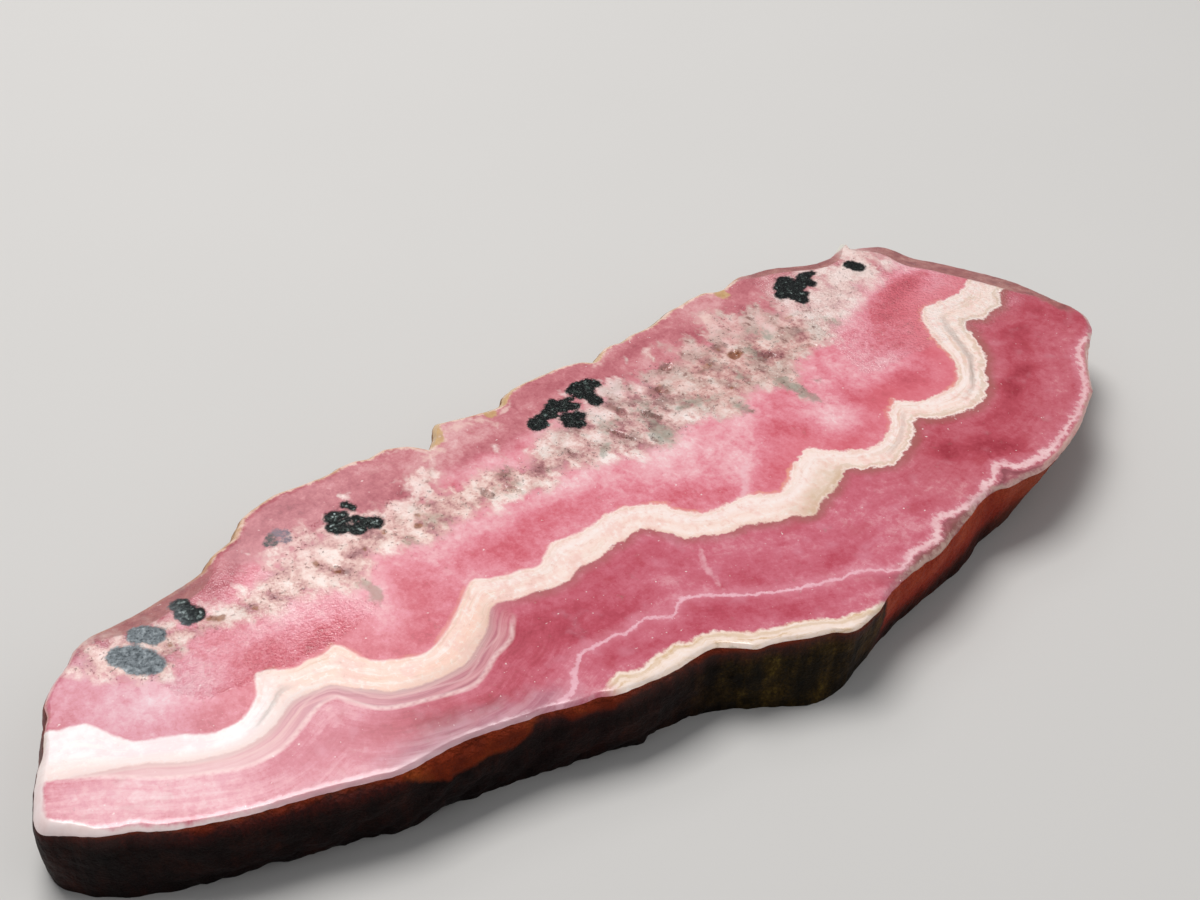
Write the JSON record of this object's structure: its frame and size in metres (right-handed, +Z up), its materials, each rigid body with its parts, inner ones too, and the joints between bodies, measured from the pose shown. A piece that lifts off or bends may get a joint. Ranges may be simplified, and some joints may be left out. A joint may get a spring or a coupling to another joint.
{
  "type": "rhodochrosite slice",
  "caption": "Flat polished slice of banded pink rhodochrosite with a ragged natural rim, scalloped cream band and dark sulphide grains.",
  "frame": {"origin": "centre of the slice's bounding box, on the underside it rests on", "axes": "+X along the slice from its narrow end to its broad end, +Y across it towards the edge with the notches, +Z up out of the polished face"},
  "size_m": [0.0992, 0.0404, 0.0065],
  "materials": {
    "rhodochrosite": "polished top with scalloped cream and rose bands, rough natural rim, matte sawn underside"
  },
  "bodies": {
    "root": {"rhodochrosite_slice": "rhodochrosite"}
  },
  "joints": []
}
